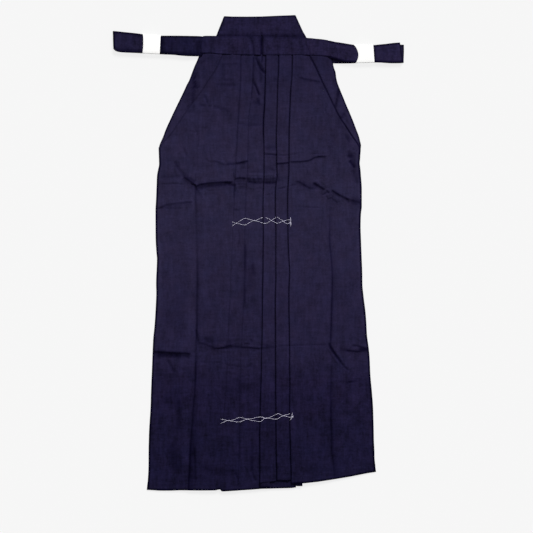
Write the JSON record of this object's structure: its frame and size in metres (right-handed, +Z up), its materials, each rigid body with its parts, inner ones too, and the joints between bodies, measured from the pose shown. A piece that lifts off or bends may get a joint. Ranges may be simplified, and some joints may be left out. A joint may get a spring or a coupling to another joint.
{
  "type": "hakama trousers laid flat",
  "caption": "Divided pleated trousers laid flat, front up, with a stiff back board, a front waistband and folded waist ties held by paper bands.",
  "frame": {"origin": "centre of the garment's outline, on the surface that it lies on", "axes": "+X towards the wearer's left side, +Y towards the waist, +Z up out of the front of the garment"},
  "size_m": [0.6572, 1.0786, 0.0099],
  "materials": {
    "navy_cloth": "matt plain-weave cotton, dark navy",
    "white_paper": "plain white paper band"
  },
  "bodies": {
    "root": {"front_panel_left_leg": "navy_cloth", "front_panel_right_leg": "navy_cloth", "back_panel_left_leg": "navy_cloth", "back_panel_right_leg": "navy_cloth", "gusset_left_leg": "navy_cloth", "gusset_right_leg": "navy_cloth", "back_board": "navy_cloth", "front_waistband": "navy_cloth", "front_tie_left": "navy_cloth", "front_tie_right": "navy_cloth", "back_tie_left": "navy_cloth", "back_tie_right": "navy_cloth", "paper_band_left": "white_paper", "paper_band_right": "white_paper"}
  },
  "joints": []
}
